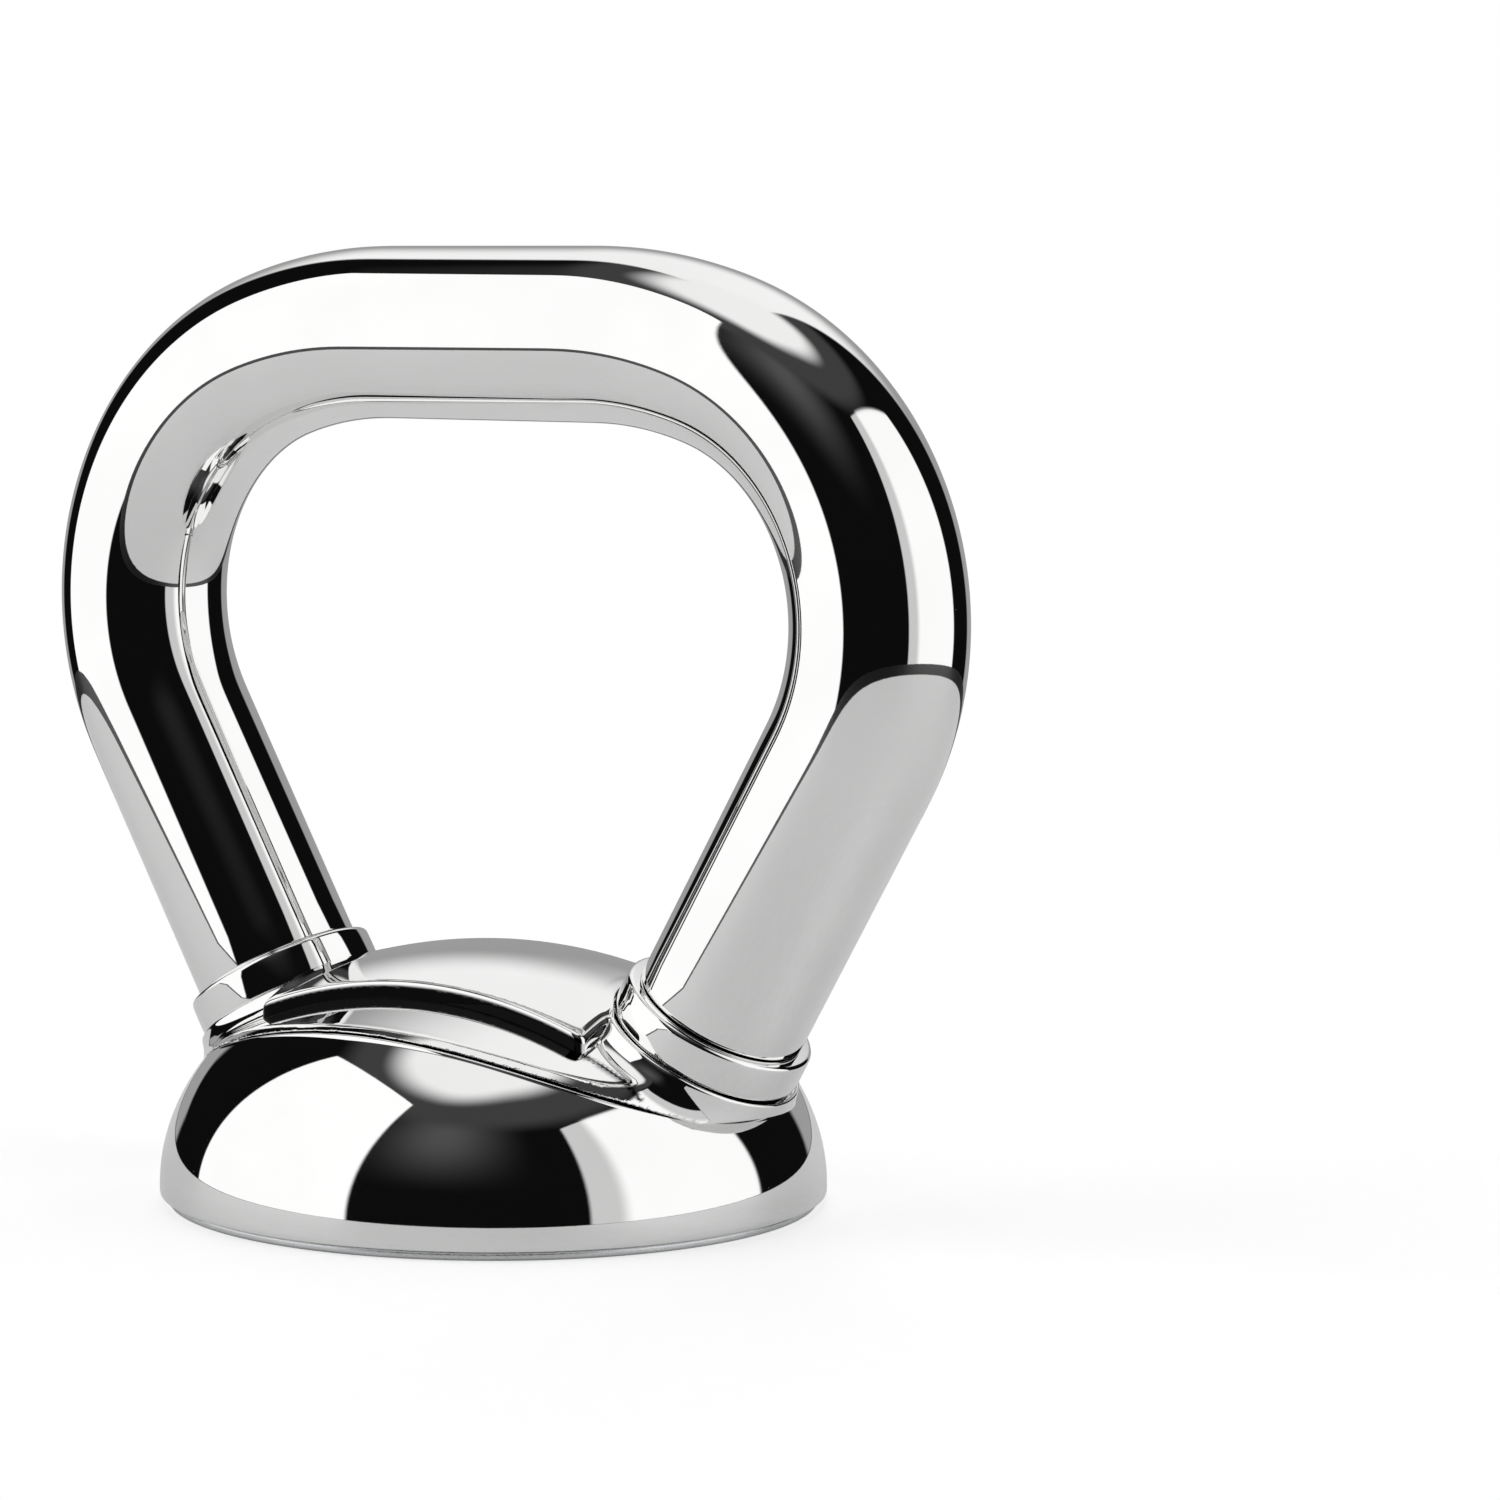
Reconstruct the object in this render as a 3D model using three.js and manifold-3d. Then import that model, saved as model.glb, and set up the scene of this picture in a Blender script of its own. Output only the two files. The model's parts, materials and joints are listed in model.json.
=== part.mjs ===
// Swivel hoist ring, female-threaded: a trapezoidal bail on a polished dome that turns on a ball
// bearing about a threaded hub.  Millimetres, +Z up, origin at the centre of the seat.
// Three bodies: the base (hub, seat plate, upper race), the head (all that turns with the bail)
// and the ball ring, which rolls round at half the head's speed.

import * as THREE from "three";
import { mergeVertices } from "three/addons/utils/BufferGeometryUtils.js";
import Module from "manifold-3d";

const wasm = await Module();
wasm.setup();

// ---------------------------------------------------------------- driving dimensions

const CLEARANCE = 0.3;                     // between neighbours that are separate pieces

// Dome: a short upright wall, then a quarter ellipse up to the pole.
const DOME_RADIUS = 30;
const DOME_WALL_TOP = 1.5;
const DOME_RISE = 22.15;
const DOME_BOTTOM = 1.0;
const SHELL_THICKNESS = 2.2;

// Ledge: the arch that ends the dome, curved along X and straight along Y.
const ARCH_TOP = 18.0;
const ARCH_RADIUS = 51;
const LEDGE_RIM = 0.6;                     // thickness of the yoke's rim above the shell's edge

// Crown: the raised pad between the two necks, part of a wheel about an axis along Y.
const CROWN_HALF_LENGTH = 17;
const CROWN_HALF_WIDTH = 11.7;
const CROWN_TOP = 23.1;
const CROWN_WHEEL_RADIUS = 50;
const CROWN_SHOULDER_DROP = 2.35;          // from the ridge to the top of the side wall
const LEDGE_REACH = 20.3;                  // half width over the ledge at its highest place
const LEDGE_SLOPE = 0.12;                  // rise of the ledge towards the crown, per length

// Bail: a round bar bent in the XZ plane.
const BAR_RADIUS = 7.7;
const BAIL_TOP = 77.5;                     // height of the bar's centreline
const TOP_HALF_STRAIGHT = 11.1;
const SHOULDER_BEND = { radius: 39, angle: 0.332 };
const KNEE_RADIUS = 23.7;
const LEG_ANGLE = 0.513;                   // between each leg and the vertical

// Along a leg, distances are counted down the leg's axis from the end of the knee bend.
const LEG_SHOULDER = 25.5;
const COLLAR = { from: 25.8, to: 29.0, radius: 8.75 };
const NECK = { from: 29.3, to: 35.0, radius: 9.1, footRadius: 10.4 };
const NECK_UNDERSIDE = 10.9;               // height of the neck's overhang above the seat
const SPIGOT = { radius: 4.5, chamferFrom: 35.2, end: 36.4, endRadius: 3.3 };
const BOSS = { radius: 6.2, from: 29.5, to: 36.0 };
const LEG_PIN = { radius: 1.25, at: 34.0, halfLength: 9 };

// Hub: the fixed core, tapped M16 x 2.
const HUB = { radius: 9.8, flangeRadius: 13.4, flangeBottom: 10.9, top: 14.0 };
const THREAD = { majorRadius: 8.0, minorRadius: 6.92, pitch: 2 };
const SEAT_PLATE = { radius: 29.2, thickness: 0.7 };

// Bearing: balls between two grooved races round the hub.
const BALL = { radius: 1.25, count: 16, pitchRadius: 11.8, height: 7.75 };
const RACE = { inner: 10.1, outer: 13.4, lowerBottom: 4.9, lowerTop: 6.9, upperBottom: 8.6,
  upperTop: 10.6 };
const CAGE = { inner: 10.1, outer: 13.5, bottom: 7.2, top: 8.3 };

// Yoke interior, retaining nut and closing ring.
const CAVITY = { radius: 13.8, top: 14.5 };
const YOKE_BOTTOM = 2.8;
const NUT = { inner: 10.1, outer: 16.0, bottom: 1.0, top: 4.6 };
const CLOSING_RING = { inner: 16.4, outer: 27.4, bottom: 1.0, top: 2.5 };
const CLOSING_SCREW = { count: 4, pitchRadius: 20.5, radius: 1.3, headRadius: 2.3, top: 7.5 };
const LOCK_SCREW = { radius: 1.25, height: 3.8, inner: 16.3, outer: 22.4 };

const DOME_SIDES = 48;
const TURNED_SIDES = 36;
const CROWN_WHEEL_SIDES = 120;
const SMALL_SIDES = 24;
const BAR_SIDES = 20;
const BAR_STEPS = 52;
const GROOVE_SIDES = 10;
const ARCH_STEPS = 18;

// ---------------------------------------------------------------- materials

const finish = (color, roughness, metalness) => ({ color, roughness, metalness });
const POLISHED = finish(0xdcdedf, 0.05, 1);
const STEEL = finish(0x9b9da0, 0.3, 1);
const HARDENED = finish(0xb9bbbf, 0.15, 1);
const BRASS = finish(0xb08d4a, 0.35, 1);
const RUBBER = finish(0x1b1b1c, 0.8, 0);

const group = new THREE.Group();

function add(name, geometry, look) {
  const mesh = new THREE.Mesh(geometry, new THREE.MeshStandardMaterial(look));
  mesh.name = name;
  group.add(mesh);
}

// ---------------------------------------------------------------- solids

/** A closed three.js geometry as a solid that can be joined and cut. */
function solid(geometry) {
  const bare = geometry.clone();
  bare.deleteAttribute("normal");
  bare.deleteAttribute("uv");
  const merged = mergeVertices(bare, 1e-4);
  const corners = merged.index.array;
  const kept = [];
  for (let i = 0; i < corners.length; i += 3) {
    const [a, b, c] = [corners[i], corners[i + 1], corners[i + 2]];
    if (a !== b && b !== c && c !== a) kept.push(a, b, c);
  }
  return new wasm.Manifold(new wasm.Mesh({
    numProp: 3,
    vertProperties: new Float32Array(merged.attributes.position.array),
    triVerts: new Uint32Array(kept),
  }));
}

/** The solid's surface as a three.js geometry. */
function surface(manifold) {
  const mesh = manifold.getMesh();
  const geometry = new THREE.BufferGeometry();
  geometry.setAttribute("position", new THREE.BufferAttribute(mesh.vertProperties, 3));
  geometry.setIndex(new THREE.BufferAttribute(mesh.triVerts, 1));
  geometry.computeVertexNormals();
  return geometry;
}

/** A body turned about Z.  The profile's [radius, height] points run anticlockwise; one that
 *  doesn't start on the axis is a ring. */
function turned(profile, sides = TURNED_SIDES) {
  const points = profile.map(([radius, height]) => new THREE.Vector2(radius, height));
  if (profile[0][0] > 0) points.push(points[0].clone());
  return new THREE.LatheGeometry(points, sides).rotateX(Math.PI / 2);
}

const disc = (radius, bottom, top, sides) =>
  turned([[0, bottom], [radius, bottom], [radius, top], [0, top]], sides);

const ring = (inner, outer, bottom, top, sides) =>
  turned([[inner, bottom], [outer, bottom], [outer, top], [inner, top]], sides);

/** An outline in the XZ plane made solid along Y, as far as halfWidth each way. */
function alongY(shape, halfWidth) {
  return new THREE.ExtrudeGeometry(shape, {
    depth: 2 * halfWidth, bevelEnabled: false, curveSegments: ARCH_STEPS,
  }).translate(0, 0, -halfWidth).rotateX(Math.PI / 2);
}

/** A round rod along Y, centred on y = 0. */
const rodAlongY = (radius, halfLength, x, z) =>
  new THREE.CylinderGeometry(radius, radius, 2 * halfLength, 16).translate(x, 0, z);

// ---------------------------------------------------------------- the dome and the ledge

/** Points of the dome's outline from the height bottom up to the pole, set in by inset. */
function domeOutline(inset, bottom, steps = 10) {
  const rise = DOME_RISE - inset;
  const start = Math.asin(Math.max(0, (bottom - DOME_WALL_TOP) / rise));
  return Array.from({ length: steps + 1 }, (_, i) => {
    const angle = start + (i / steps) * (Math.PI / 2 - start);
    const radius = i === steps ? 0 : (DOME_RADIUS - inset) * Math.cos(angle);
    return [radius, DOME_WALL_TOP + rise * Math.sin(angle)];
  });
}

/** The dome as a solid that ends at the height bottom. */
function domeSolid(inset, bottom) {
  const wall = bottom < DOME_WALL_TOP ? [[DOME_RADIUS - inset, bottom]] : [];
  return solid(turned([[0, bottom], ...wall, ...domeOutline(inset, bottom)], DOME_SIDES));
}

/** Everything below the arch, raised by offset. */
function underArch(offset) {
  const reach = 40;
  const top = ARCH_TOP + offset;
  const end = top - reach ** 2 / (2 * ARCH_RADIUS);
  const shape = new THREE.Shape();
  shape.moveTo(-reach, end);
  shape.lineTo(-reach, -10);
  shape.lineTo(reach, -10);
  shape.lineTo(reach, end);
  shape.quadraticCurveTo(0, 2 * top - end, -reach, end);
  return solid(alongY(shape, 40));
}

// ---------------------------------------------------------------- the bail's centreline

const kneeTurn = Math.PI / 2 + LEG_ANGLE - SHOULDER_BEND.angle;
const HALF_STRETCHES = [
  { length: TOP_HALF_STRAIGHT, bend: 0 },
  { length: SHOULDER_BEND.radius * SHOULDER_BEND.angle, bend: 1 / SHOULDER_BEND.radius },
  { length: KNEE_RADIUS * kneeTurn, bend: 1 / KNEE_RADIUS },
  { length: LEG_SHOULDER, bend: 0 },
];
const HALF_LENGTH = HALF_STRETCHES.reduce((sum, stretch) => sum + stretch.length, 0);

/** The point of the centreline this far from its top middle, on the +X side, as [x, z]. */
function centrelinePoint(distance) {
  let [x, z, heading, left] = [0, BAIL_TOP, 0, distance];
  for (const { length, bend } of HALF_STRETCHES) {
    const step = Math.min(left, length);
    const turn = step * bend;
    if (bend === 0) {
      x += step * Math.cos(heading);
      z -= step * Math.sin(heading);
    } else {
      x += (Math.sin(heading + turn) - Math.sin(heading)) / bend;
      z += (Math.cos(heading + turn) - Math.cos(heading)) / bend;
    }
    heading += turn;
    left -= step;
  }
  return [x, z];
}

class BailCentreline extends THREE.Curve {
  getPoint(t, target = new THREE.Vector3()) {
    const distance = (2 * t - 1) * HALF_LENGTH;
    const [x, z] = centrelinePoint(Math.abs(distance));
    return target.set(Math.sign(distance) * x, 0, z);
  }
}

const [KNEE_END_X, KNEE_END_Z] = centrelinePoint(HALF_LENGTH - LEG_SHOULDER);

/** Places a body turned about Z on a leg, its height zero at the end of the knee bend. */
const onLeg = (geometry, side) =>
  geometry.rotateY(side * LEG_ANGLE).translate(side * KNEE_END_X, 0, KNEE_END_Z);

/** The point on a leg's axis that far down the leg, as [x, z]. */
const legPoint = (side, down) => [
  side * (KNEE_END_X - down * Math.sin(LEG_ANGLE)),
  KNEE_END_Z - down * Math.cos(LEG_ANGLE),
];

const SIDES = [["left", -1], ["right", 1]];

// ---------------------------------------------------------------- bail, collars and leg pins

function legPinHole(side) {
  const [x, z] = legPoint(side, LEG_PIN.at);
  return solid(rodAlongY(LEG_PIN.radius + CLEARANCE, 10, x, z));
}

function spigot(side) {
  const into = LEG_SHOULDER - 2;
  return solid(onLeg(turned([
    [0, -SPIGOT.end], [SPIGOT.endRadius, -SPIGOT.end], [SPIGOT.radius, -SPIGOT.chamferFrom],
    [SPIGOT.radius, -into], [0, -into],
  ], SMALL_SIDES), side));
}

function bail() {
  const section = new THREE.Shape();
  for (let i = 0; i < BAR_SIDES; i += 1) {
    const angle = (2 * Math.PI * i) / BAR_SIDES;
    const [x, y] = [BAR_RADIUS * Math.cos(angle), BAR_RADIUS * Math.sin(angle)];
    if (i === 0) section.moveTo(x, y);
    else section.lineTo(x, y);
  }
  let body = solid(new THREE.ExtrudeGeometry(section, {
    steps: BAR_STEPS, extrudePath: new BailCentreline(), bevelEnabled: false,
  }));
  for (const [, side] of SIDES) {
    body = body.add(spigot(side)).subtract(legPinHole(side));
  }
  return surface(body);
}

function collar(side) {
  const inner = SPIGOT.radius + CLEARANCE;
  const round = 0.5;
  return onLeg(turned([
    [inner, -COLLAR.to], [COLLAR.radius - round, -COLLAR.to],
    [COLLAR.radius, -COLLAR.to + round], [COLLAR.radius, -COLLAR.from - round],
    [COLLAR.radius - round, -COLLAR.from], [inner, -COLLAR.from],
  ], SMALL_SIDES), side);
}

function legPin(side) {
  const [x, z] = legPoint(side, LEG_PIN.at);
  return rodAlongY(LEG_PIN.radius, LEG_PIN.halfLength, x, z);
}

// ---------------------------------------------------------------- yoke and dome shell

/** A wheel about an axis along Y, its ridge at the crown's top: rim points are [drop, y]. */
function crownWheel(rim) {
  const outline = rim.map(([drop, y]) => [CROWN_WHEEL_RADIUS - drop, y]);
  const [first, last] = [rim[0][1], rim.at(-1)[1]];
  const wheel = turned([[0, first], ...outline, [0, last]], CROWN_WHEEL_SIDES);
  return solid(wheel.rotateX(-Math.PI / 2).translate(0, 0, CROWN_TOP - CROWN_WHEEL_RADIUS));
}

/** The crown: a stretch of a wheel's rim, flat on top and falling to a low wall at each side. */
function crown() {
  const steps = 6;
  const rim = [];
  for (let i = -steps; i <= steps; i += 1) {
    const share = Math.sin((i / steps) * Math.PI / 2);
    rim.push([CROWN_SHOULDER_DROP * Math.abs(share) ** 2.5, share * CROWN_HALF_WIDTH]);
  }
  const height = 16;
  const bottom = CROWN_TOP - 12;
  const block = new THREE.BoxGeometry(2 * CROWN_HALF_LENGTH, 4 * CROWN_HALF_WIDTH, height)
    .translate(0, 0, bottom + height / 2);
  return solid(block).intersect(crownWheel(rim));
}

/** The ledge's gentle rise from the dome's edge to the crown's foot. */
function ledgeRise(dome) {
  const outer = CROWN_TOP - ARCH_TOP;
  const inner = outer - LEDGE_SLOPE * (LEDGE_REACH - CROWN_HALF_WIDTH);
  return dome.intersect(crownWheel([
    [outer, -LEDGE_REACH], [inner, -CROWN_HALF_WIDTH], [inner, CROWN_HALF_WIDTH],
    [outer, LEDGE_REACH],
  ]));
}

/** A neck: flared into the ledge, with a level underside where it overhangs the dome. */
function neck(side, dome) {
  const whole = solid(onLeg(turned([
    [0, -NECK.to], [NECK.footRadius, -NECK.to], [NECK.radius, -NECK.from - 1.5],
    [NECK.radius, -NECK.from - 0.4], [NECK.radius - 0.4, -NECK.from], [0, -NECK.from],
  ]), side));
  const below = solid(new THREE.BoxGeometry(120, 120, 40)
    .translate(0, 0, NECK_UNDERSIDE - 20));
  return whole.subtract(below).add(whole.intersect(dome));
}

/** The boss round a spigot's socket, where it reaches into the dome shell's thickness. */
const spigotBoss = (side, extra) =>
  solid(onLeg(disc(BOSS.radius + extra, -BOSS.to - extra, -BOSS.from, SMALL_SIDES), side));

/** The room that a collar and the leg above it take. */
const legRoom = (side) =>
  solid(onLeg(disc(COLLAR.radius + CLEARANCE, -NECK.from, 0, SMALL_SIDES), side));

function spigotSocket(side) {
  const wall = CLEARANCE;
  return solid(onLeg(turned([
    [0, -SPIGOT.end - wall], [SPIGOT.endRadius + wall, -SPIGOT.end - wall],
    [SPIGOT.radius + wall, -SPIGOT.chamferFrom - wall], [SPIGOT.radius + wall, -NECK.from + 2],
    [0, -NECK.from + 2],
  ], SMALL_SIDES), side));
}

/** The axis of each closing screw, as [x, y]. */
const screwPlaces = Array.from({ length: CLOSING_SCREW.count }, (_, i) => {
  const angle = ((i + 0.5) / CLOSING_SCREW.count) * 2 * Math.PI;
  return [CLOSING_SCREW.pitchRadius * Math.cos(angle), CLOSING_SCREW.pitchRadius * Math.sin(angle)];
});

function yoke() {
  const dome = domeSolid(0, 0);
  const sides = SIDES.map(([, side]) => side);
  let body = dome.intersect(underArch(0)).add(ledgeRise(dome)).add(crown());
  for (const side of sides) body = body.add(neck(side, dome));
  body = body.subtract(underArch(-LEDGE_RIM));
  body = body.add(domeSolid(SHELL_THICKNESS + CLEARANCE, YOKE_BOTTOM).intersect(underArch(-0.3)));
  for (const side of sides) body = body.add(spigotBoss(side, 0)).subtract(legRoom(side));
  body = body.subtract(solid(disc(CAVITY.radius, 0, CAVITY.top)));
  body = body.subtract(solid(disc(NUT.outer + CLEARANCE, 0, NUT.top + CLEARANCE)));
  for (const side of sides) {
    body = body.subtract(spigotSocket(side)).subtract(legPinHole(side));
  }
  for (const [x, y] of screwPlaces) {
    const hole = disc(CLOSING_SCREW.radius + CLEARANCE, 0, CLOSING_SCREW.top + CLEARANCE, 12);
    body = body.subtract(solid(hole.translate(x, y, 0)));
  }
  body = body.subtract(lockScrewRod(CLEARANCE));
  return surface(body);
}

function lockScrewRod(extra) {
  const [from, to] = extra ? [NUT.outer - 1, DOME_RADIUS] : [LOCK_SCREW.inner, LOCK_SCREW.outer];
  const radius = LOCK_SCREW.radius + extra;
  return solid(new THREE.CylinderGeometry(radius, radius, to - from, 14)
    .translate(0, -(from + to) / 2, LOCK_SCREW.height));
}

function domeShell() {
  const edge = 0.3;
  const outside = solid(turned([
    [0, DOME_BOTTOM], [DOME_RADIUS - edge, DOME_BOTTOM], [DOME_RADIUS, DOME_BOTTOM + edge],
    ...domeOutline(0, DOME_BOTTOM),
  ], DOME_SIDES));
  const cut = underArch(-LEDGE_RIM - CLEARANCE);
  let body = outside.subtract(domeSolid(SHELL_THICKNESS, 0)).intersect(cut);
  for (const [, side] of SIDES) body = body.subtract(spigotBoss(side, CLEARANCE));
  return surface(body);
}

// ---------------------------------------------------------------- base

/** The hub: a flanged sleeve whose bore carries the thread's ridges. */
function threadedHub() {
  const { majorRadius, minorRadius, pitch } = THREAD;
  const bore = [];
  for (let z = HUB.top - 1; z > 1.5; z -= pitch) {
    bore.push([majorRadius, z], [minorRadius, z - 0.38 * pitch], [minorRadius, z - 0.62 * pitch]);
  }
  return turned([
    [majorRadius + 0.4, 0], [HUB.radius, 0], [HUB.radius, HUB.flangeBottom],
    [HUB.flangeRadius, HUB.flangeBottom], [HUB.flangeRadius, HUB.top], [majorRadius, HUB.top],
    ...bore, [majorRadius, 1],
  ], SMALL_SIDES);
}

/** A race with its ball groove, facing up or down. */
function race(bottom, top) {
  const groove = solid(new THREE.TorusGeometry(
    BALL.pitchRadius, BALL.radius + CLEARANCE, GROOVE_SIDES, TURNED_SIDES,
  ).translate(0, 0, BALL.height));
  return surface(solid(ring(RACE.inner, RACE.outer, bottom, top)).subtract(groove));
}

// ---------------------------------------------------------------- ball ring

const ballPlaces = Array.from({ length: BALL.count }, (_, i) => {
  const angle = (i / BALL.count) * 2 * Math.PI;
  return [BALL.pitchRadius * Math.cos(angle), BALL.pitchRadius * Math.sin(angle)];
});

function ballCage() {
  let body = solid(ring(CAGE.inner, CAGE.outer, CAGE.bottom, CAGE.top));
  for (const [x, y] of ballPlaces) {
    const pocket = disc(BALL.radius + 0.15, CAGE.bottom - 1, CAGE.top + 1, 10);
    body = body.subtract(solid(pocket.translate(x, y, 0)));
  }
  return surface(body);
}

// ---------------------------------------------------------------- retaining parts

const SEAL_GROOVE = { outer: 11.6, bottom: 1.6, top: 3.0 };
const WIPER_GROOVE = { inner: 24.2, outer: 26.2, top: 2.1 };
const SPANNER_HOLE = { count: 4, radius: 0.9, pitchRadius: 13.6, depth: 1.6 };

function retainingNut() {
  let body = solid(turned([
    [NUT.inner, NUT.bottom], [NUT.outer, NUT.bottom], [NUT.outer, NUT.top],
    [NUT.inner, NUT.top], [NUT.inner, SEAL_GROOVE.top], [SEAL_GROOVE.outer, SEAL_GROOVE.top],
    [SEAL_GROOVE.outer, SEAL_GROOVE.bottom], [NUT.inner, SEAL_GROOVE.bottom],
  ]));
  for (let i = 0; i < SPANNER_HOLE.count; i += 1) {
    const angle = ((i + 0.5) / SPANNER_HOLE.count) * 2 * Math.PI;
    const hole = disc(SPANNER_HOLE.radius, 0, NUT.bottom + SPANNER_HOLE.depth, 10);
    body = body.subtract(solid(hole.translate(
      SPANNER_HOLE.pitchRadius * Math.cos(angle), SPANNER_HOLE.pitchRadius * Math.sin(angle), 0,
    )));
  }
  return surface(body);
}

const screwProfile = (extra, from, to) => [
  [0, from], [CLOSING_SCREW.headRadius + extra, from],
  [CLOSING_SCREW.headRadius + extra, CLOSING_RING.bottom + 0.3],
  [CLOSING_SCREW.radius + extra, CLOSING_RING.bottom + 1.3], [CLOSING_SCREW.radius + extra, to],
  [0, to],
];

function closingRing() {
  const { inner, outer, bottom, top } = CLOSING_RING;
  let body = solid(turned([
    [inner, bottom], [WIPER_GROOVE.inner, bottom], [WIPER_GROOVE.inner, WIPER_GROOVE.top],
    [WIPER_GROOVE.outer, WIPER_GROOVE.top], [WIPER_GROOVE.outer, bottom], [outer, bottom],
    [outer, top], [inner, top],
  ]));
  for (const [x, y] of screwPlaces) {
    const hole = turned(screwProfile(CLEARANCE, bottom - 1, top + 1), 16);
    body = body.subtract(solid(hole.translate(x, y, 0)));
  }
  return surface(body);
}

const sealRing = (groove, bottom) => ring(
  (groove.inner ?? NUT.inner) + 0.1, groove.outer - CLEARANCE, bottom, groove.top - CLEARANCE,
);

// ---------------------------------------------------------------- the assembly

add("seat_plate", ring(HUB.radius + CLEARANCE, SEAT_PLATE.radius, 0, SEAT_PLATE.thickness, 64),
  STEEL);
add("threaded_hub", threadedHub(), STEEL);
add("upper_race", race(RACE.upperBottom, RACE.upperTop), HARDENED);

add("bail", bail(), POLISHED);
for (const [name, side] of SIDES) add(`${name}_collar`, collar(side), POLISHED);
for (const [name, side] of SIDES) add(`${name}_leg_pin`, legPin(side), HARDENED);
add("yoke", yoke(), POLISHED);
add("dome_shell", domeShell(), POLISHED);
add("retaining_nut", retainingNut(), STEEL);
add("nut_lock_screw", surface(lockScrewRod(0)), HARDENED);
add("lower_race", race(RACE.lowerBottom, RACE.lowerTop), HARDENED);
add("closing_ring", closingRing(), STEEL);
screwPlaces.forEach(([x, y], i) => {
  const screw = turned(screwProfile(0, CLOSING_RING.bottom + 0.1, CLOSING_SCREW.top), 12);
  add(`closing_screw_${i + 1}`, screw.translate(x, y, 0), HARDENED);
});
add("hub_seal", sealRing(SEAL_GROOVE, SEAL_GROOVE.bottom + CLEARANCE), RUBBER);
add("wiper_seal", sealRing({ ...WIPER_GROOVE, inner: WIPER_GROOVE.inner + 0.2 }, 1.0), RUBBER);

add("ball_cage", ballCage(), BRASS);
ballPlaces.forEach(([x, y], i) => {
  const ball = new THREE.SphereGeometry(BALL.radius, 8, 6).rotateX(Math.PI / 2);
  add(`bearing_ball_${String(i + 1).padStart(2, "0")}`, ball.translate(x, y, BALL.height),
    HARDENED);
});

export default group;
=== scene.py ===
"""Looks of the swivel hoist ring: mirror-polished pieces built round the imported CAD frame.

Lengths are in millimetres until make_mesh() turns them into metres.  +Z is up along the swivel
axis, +X across the bail and -Y towards the front.
"""

import json
import math

import bpy
import numpy as np
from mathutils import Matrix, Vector


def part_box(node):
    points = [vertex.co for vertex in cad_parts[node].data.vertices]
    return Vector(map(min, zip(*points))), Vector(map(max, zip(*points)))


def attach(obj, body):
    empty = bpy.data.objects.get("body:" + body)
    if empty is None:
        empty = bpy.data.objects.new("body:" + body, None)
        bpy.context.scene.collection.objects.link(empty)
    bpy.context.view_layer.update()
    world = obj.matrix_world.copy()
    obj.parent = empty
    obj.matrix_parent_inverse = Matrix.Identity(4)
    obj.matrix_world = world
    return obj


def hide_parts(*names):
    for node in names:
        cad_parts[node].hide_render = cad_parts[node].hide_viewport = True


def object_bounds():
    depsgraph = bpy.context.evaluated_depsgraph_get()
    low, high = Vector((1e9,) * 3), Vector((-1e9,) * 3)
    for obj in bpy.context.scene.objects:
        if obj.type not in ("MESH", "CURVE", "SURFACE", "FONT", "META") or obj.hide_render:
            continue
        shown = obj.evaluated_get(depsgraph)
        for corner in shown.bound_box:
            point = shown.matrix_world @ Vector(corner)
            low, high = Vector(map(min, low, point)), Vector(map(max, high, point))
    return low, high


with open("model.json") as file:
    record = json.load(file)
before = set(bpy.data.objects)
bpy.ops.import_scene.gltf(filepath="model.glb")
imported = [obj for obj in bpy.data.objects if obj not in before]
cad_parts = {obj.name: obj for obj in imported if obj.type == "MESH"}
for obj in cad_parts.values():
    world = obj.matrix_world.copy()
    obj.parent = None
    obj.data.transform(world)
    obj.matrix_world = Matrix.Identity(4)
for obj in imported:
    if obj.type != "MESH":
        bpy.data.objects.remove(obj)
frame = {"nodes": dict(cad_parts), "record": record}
cad_low, cad_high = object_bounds()

MM = 0.001

# ------------------------------------------------------------------ driving dimensions

# Bail: a round bar, bent in one plane, heading away from its top middle on each side.
BAR_RADIUS = 7.7
BAIL_TOP = (cad_high.z - cad_low.z) / MM - BAR_RADIUS  # height of the bar's centreline
TOP_HALF_STRAIGHT = 11.1
SHOULDER_RADIUS = 39.0
SHOULDER_TURN = 0.332  # radians
KNEE_RADIUS = 23.7
LEG_ANGLE = 0.513  # radians, between a leg and the vertical
BEND_BLEND = 5.0  # length over which one bend runs into the next

# Distances down a leg, from the end of its knee bend.
LEG_SHOULDER = 25.5  # where the bar steps down to its spigot
COLLAR_TOP = 25.62
COLLAR_FOOT = 29.12
NECK_FACE = 29.3
SPIGOT_END = 36.4
BOSS_END = 36.8
NECK_END = 38.0

# Radii about a leg.
SPIGOT_RADIUS = 4.5
SPIGOT_ROOM = 0.3
BOSS_RADIUS = 6.2
COLLAR_RADIUS = 8.75
COLLAR_ROOM = 0.14
NECK_RADIUS = 9.05

# Dome cover: an upright wall, then an ellipse, cut off along an arched seam.
DOME_RADIUS = (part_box("dome_shell")[1].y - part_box("dome_shell")[0].y) / MM / 2
DOME_BOTTOM = 0.85
DOME_WALL_TOP = 1.5
DOME_RISE = 22.15
SHELL_THICKNESS = 2.2
SHELL_ROOM = 0.16

# Ledge over the seam: its height over x is a parabola.
ARCH_TOP = 18.0
ARCH_RADIUS = 51.0  # at the top of the parabola
ARCH_END = 27.0  # beyond this x the ledge's underside stays level
LEDGE_RIM = 0.5  # thickness of the ledge where it shows
LEDGE_REACH = 20.3  # the y from which the ledge rises inwards
LEDGE_SLOPE = 0.16
SEAM_GAP = 0.13  # between the ledge and the cover's edge

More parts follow.
